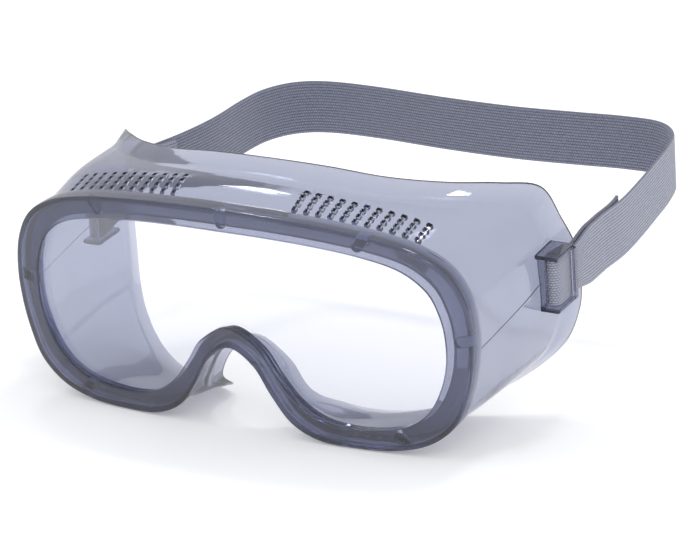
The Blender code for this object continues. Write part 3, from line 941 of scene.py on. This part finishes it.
lens = make_lens()
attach(lens, "goggles")
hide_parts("lens")
print("lens:", len(lens.data.polygons), "faces")

# %% [markdown]
# ## The strap
# One length of knitted elastic, 19 mm wide.  It runs from its free end inside, forward round
# the bar of one bracket, back round the head and through the other bracket.  A path and a
# ribbed section describe it completely, so Geometry Nodes sweep one along the other.  They keep
# on every point how far along and across it lies, and on which face, for the knit to read.

# %% Route of the strap
# Plan of the strap from the right-hand bend round the back of the head to the left-hand one:
# how far across, as a share of where it leaves the bracket, and how far behind the bend.
STRAP_PLAN = [(1.010, 13.4), (.998, 29.4), (.981, 43.4), (.960, 58.4), (.920, 70.9),
              (.824, 78.6), (.667, 79.6), (.468, 78), (.199, 76.2), (-.105, 76.6), (-.422, 78.4),
              (-.644, 77.8), (-.773, 73.4), (-.850, 64.4), (-.878, 52.4), (-.890, 34.4),
              (-.930, 17.4)]
PLAN_STEPS = 8              # between two points of the plan
TURN_STEPS = 12             # round a bar
STRAIGHT_REACH = 12         # straight webbing behind the bar and ahead of the bend
TAIL_LENGTH = 16.0          # of a free end, behind the bend
TAIL_FLARE = 1.3            # how much further its tip stands off the strap


def turn_round_bar(side):
    """From the outer layer forward round the bar to the inner layer."""
    radius = BAR_THICKNESS / 2 + FIT_GAP + STRAP_THICKNESS / 2
    middle = STRAP_X - radius
    turn_y = LOOP_FRONT + radius
    points = []
    for k in range(TURN_STEPS + 1):
        angle = pi * k / TURN_STEPS
        points.append(Vector((side * (middle + radius * cos(angle)),
                              turn_y - radius * sin(angle), 0)))
    points.append(Vector((side * (middle - radius), turn_y + BAR_DEPTH, 0)))
    return points


def tail(side, main):
    """The free end: inside the strap, from the bracket back past the bend, its tip flared."""
    points = [Vector((side * TAIL_X, face_depth(WIDEST_EDGE) - FLANGE_WIDTH, 0)),
              Vector((side * TAIL_X, HINGE_Y, 0))]
    gone = 0.0
    for a, b in zip(main, main[1:]):
        gone += (b - a).length
        if gone > TAIL_LENGTH:
            break
        along = (b - a).normalized()
        inside = Vector((-along.y, along.x, 0)) * side
        gap = TAIL_GAP + TAIL_FLARE * (gone / TAIL_LENGTH) ** 2
        points.append(b + inside * (STRAP_THICKNESS + gap))
    return points


def strap_route():
    """Middle line of the whole strap, from the right-hand free end to the left-hand one."""
    plan = [Vector((x * STRAP_X, HINGE_Y + y, 0)) for x, y in STRAP_PLAN]
    right, left = Vector((STRAP_X, HINGE_Y, 0)), Vector((-STRAP_X, HINGE_Y, 0))
    back = smooth_path([right, *plan, left], PLAN_STEPS)
    ahead = [Vector((STRAP_X, y, 0))
             for y in (HINGE_Y, HINGE_Y - STRAIGHT_REACH, LOOP_FRONT + STRAIGHT_REACH)]
    start = tail(1, back)[::-1] + turn_round_bar(1)[::-1] + ahead[::-1][:2]
    flip = Vector((-1, 1, 1))
    end = [p * flip for p in ahead[1:]] + turn_round_bar(-1) + tail(-1, back[::-1])
    return start + back + end


route = strap_route()

# %% Section of the knitted elastic
RIBS = 18
RIB_HEIGHT = 0.15
RIB_POINTS = 4              # across one rib


def strap_section():
    """Loop of edges round one slice of the strap: x through it, z across it."""
    points = []
    count = RIBS * RIB_POINTS
    for face in (1, -1):
        for k in range(count + 1):
            z = STRAP_WIDTH / 2 * (2 * k / count - 1) * face
            swell = abs(sin(pi * RIBS * k / count))
            thickness = STRAP_THICKNESS / 2 - RIB_HEIGHT * (1 - swell)
            points.append((face * thickness, z))
    return points


def section_object():
    """The section as an object, each point marked with its place and its face."""
    mesh = bpy.data.meshes.new("strap_section")
    points = strap_section()
    count = len(points)
    mesh.from_pydata([(x, z, 0) for x, z in points],
                     [(k, (k + 1) % count) for k in range(count)], [])
    across = mesh.attributes.new("across", "FLOAT", "POINT")
    across.data.foreach_set("value", [z for x, z in points])
    outer = mesh.attributes.new("outer", "FLOAT", "POINT")
    outer.data.foreach_set("value", [1.0 if x > 0 else 0.0 for x, z in points])
    return link(bpy.data.objects.new("strap_section", mesh))


section = section_object()
print(len(section.data.vertices), "points round the strap's section")

# %% Node tree that sweeps the section along the route


def webbing_tree():
    tree, enter, leave = new_tree("ribbed_webbing", {
        "Object": ("Section",), "Float": ("Step", "Narrow Y", "Wide Y", "Squeeze"),
        "Material": ("Material",)})
    join = tree.links.new
    line = node(tree, "GeometryNodeMeshToCurve")
    join(enter.outputs["Geometry"], line.inputs["Mesh"])
    even = node(tree, "GeometryNodeResampleCurve", mode="LENGTH")
    join(line.outputs[0], even.inputs["Curve"])
    join(enter.outputs["Step"], even.inputs["Length"])
    upright = node(tree, "GeometryNodeSetCurveNormal", mode="Z_UP")
    join(even.outputs[0], upright.inputs["Curve"])
    distance = node(tree, "GeometryNodeSplineParameter")
    keep = node(tree, "GeometryNodeStoreNamedAttribute", data_type="FLOAT", domain="POINT")
    keep.inputs["Name"].default_value = "along"
    join(upright.outputs[0], keep.inputs["Geometry"])
    join(distance.outputs["Length"], keep.inputs["Value"])
    shape = node(tree, "GeometryNodeObjectInfo")
    join(enter.outputs["Section"], shape.inputs["Object"])
    profile = node(tree, "GeometryNodeMeshToCurve")
    join(shape.outputs["Geometry"], profile.inputs["Mesh"])
    sweep = node(tree, "GeometryNodeCurveToMesh")
    sweep.inputs["Fill Caps"].default_value = True
    join(keep.outputs[0], sweep.inputs["Curve"])
    join(profile.outputs[0], sweep.inputs["Profile Curve"])
    place = node(tree, "GeometryNodeInputPosition")
    parts = node(tree, "ShaderNodeSeparateXYZ")
    join(place.outputs[0], parts.inputs[0])
    width = node(tree, "ShaderNodeMapRange", interpolation_type="SMOOTHSTEP")
    join(parts.outputs["Y"], width.inputs["Value"])
    for name, source in (("From Min", "Narrow Y"), ("From Max", "Wide Y"), ("To Min", "Squeeze")):
        join(enter.outputs[source], width.inputs[name])
    height = calculate(tree, "MULTIPLY", parts.outputs["Z"], width.outputs[0])
    moved = node(tree, "ShaderNodeCombineXYZ")
    for axis, value in zip("XYZ", (parts.outputs["X"], parts.outputs["Y"], height)):
        join(value, moved.inputs[axis])
    squeeze = node(tree, "GeometryNodeSetPosition")
    join(sweep.outputs[0], squeeze.inputs["Geometry"])
    join(moved.outputs[0], squeeze.inputs["Position"])
    finish_tree(tree, enter, leave, squeeze.outputs[0])
    return tree


webbing = webbing_tree()
print("webbing tree:", len(webbing.nodes), "nodes")

# %% [markdown]
# ## Knitted elastic
# Seen close, the strap is rows of tiny grey loops over pale rubber threads: ribs along its
# length, and a fine broken line across each one.  The measures that the sweep stored are all
# the pattern needs.  Light and shade are painted into its colour: the tops of the ribs and
# loops are painted paler and the hollows between them darker, and the inner face is painted
# darker than the outer one, as painted shade inside the strap's loop.

# %% Material for the strap
STITCH = 0.9                # length of one loop
LOOP_RELIEF = 0.6           # share of a rib's height that belongs to its loops
RIB_TOP_PAINTED_LIGHT = 0.75         # painted light and shade: how much paler the top of a rib is than its hollows
BLOTCH_SHADE = 0.35         # how much paler the palest blotch is
# Ramp colours of the two faces; the inner one is a darker copy of the outer, painted shade inside
# the strap's loop
INNER_PAINTED_SHADE = ((0.09, 0.095, 0.14, 1), (0.28, 0.295, 0.38, 1))
OUTER_SHADES = ((0.155, 0.16, 0.215, 1), (0.43, 0.445, 0.54, 1))
SHADE_RANGE = (0.1, 0.85)


def knitted_elastic():
    material, tree, shader = new_material("knitted_elastic")
    join = tree.links.new
    math = partial(calculate, tree)
    along, across, outer = (node(tree, "ShaderNodeAttribute", attribute_name=name).outputs["Fac"]
                            for name in ("along", "across", "outer"))
    rib = math("MULTIPLY", math("ADD", across, STRAP_WIDTH / 2), RIBS / STRAP_WIDTH)
    crown = math("ABSOLUTE", math("SINE", math("MULTIPLY", rib, pi)))
    odd = math("MULTIPLY", math("FLOOR", rib), pi)
    row = math("ADD", math("MULTIPLY", along, 2 * pi / STITCH), odd)
    loop = math("MULTIPLY", math("ADD", math("SINE", row), 1.0), 0.5)
    relief = math("ADD", math("MULTIPLY", loop, LOOP_RELIEF), 1 - LOOP_RELIEF)
    height = math("MULTIPLY", crown, relief)
    blotch = node(tree, "ShaderNodeTexNoise")
    blotch.inputs["Scale"].default_value = 900.0
    place = node(tree, "ShaderNodeTexCoord")
    join(place.outputs["Object"], blotch.inputs["Vector"])
    # Painted light and shade from the relief of the ribs and loops, plus random blotches of tone
    painted_relief_and_blotch = math("ADD", math("MULTIPLY", height, RIB_TOP_PAINTED_LIGHT),
                 math("MULTIPLY", blotch.outputs["Fac"], BLOTCH_SHADE))
    # The inner face takes the darker colours: painted shade
    mix = node(tree, "ShaderNodeMix", data_type="RGBA")
    join(outer, mix.inputs["Factor"])
    for side, shades in (("A", INNER_PAINTED_SHADE), ("B", OUTER_SHADES)):
        ramp = node(tree, "ShaderNodeValToRGB")
        for element, colour, position in zip(ramp.color_ramp.elements, shades, SHADE_RANGE):
            element.color = colour
            element.position = position
        join(painted_relief_and_blotch, ramp.inputs["Fac"])
        join(ramp.outputs["Color"], mix.inputs[side])
    join(mix.outputs["Result"], shader.inputs["Base Color"])
    bump = node(tree, "ShaderNodeBump")
    set_values(bump, Strength=0.7, Distance=0.0003)
    join(height, bump.inputs["Height"])
    join(bump.outputs["Normal"], shader.inputs["Normal"])
    set_values(shader, Roughness=0.85, Sheen_Weight=0.25, Sheen_Roughness=0.5)
    return material


ELASTIC = knitted_elastic()
print("knitted elastic, one stitch every", STITCH, "mm")

# %% Make the strap
STRAP_STEP = 1.3            # between two slices of the strap
STRAP_SHARP = 60


def make_strap():
    mesh = bpy.data.meshes.new("strap_route")
    mesh.from_pydata(route, [(k, k + 1) for k in range(len(route) - 1)], [])
    obj = link(bpy.data.objects.new("elastic_strap", mesh))
    modifier = obj.modifiers.new("webbing", "NODES")
    modifier.node_group = webbing
    values = {"Section": section, "Step": STRAP_STEP, "Material": ELASTIC,
              "Narrow Y": LOOP_FRONT + PLATE_LENGTH + STRAP_THICKNESS,
              "Wide Y": HINGE_Y - STRAP_WIDTH / 2, "Squeeze": SQUEEZED_WIDTH / STRAP_WIDTH}
    for name, value in values.items():
        set_input(modifier, webbing, name, value)
    solid_result(obj)
    bpy.data.objects.remove(section, do_unlink=True)
    bm = bmesh.new()
    bm.from_mesh(obj.data)
    bmesh.ops.transform(bm, matrix=STAND, verts=bm.verts)
    bmesh.ops.recalc_face_normals(bm, faces=bm.faces)
    bm.to_mesh(obj.data)
    bm.free()
    obj.data.shade_smooth()
    obj.data.set_sharp_from_angle(angle=radians(STRAP_SHARP))
    return obj


strap = make_strap()
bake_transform(strap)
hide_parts("strap_band", "strap_loop_left", "strap_loop_right",
            "strap_tail_left", "strap_tail_right")
print("strap:", len(strap.data.polygons), "faces")
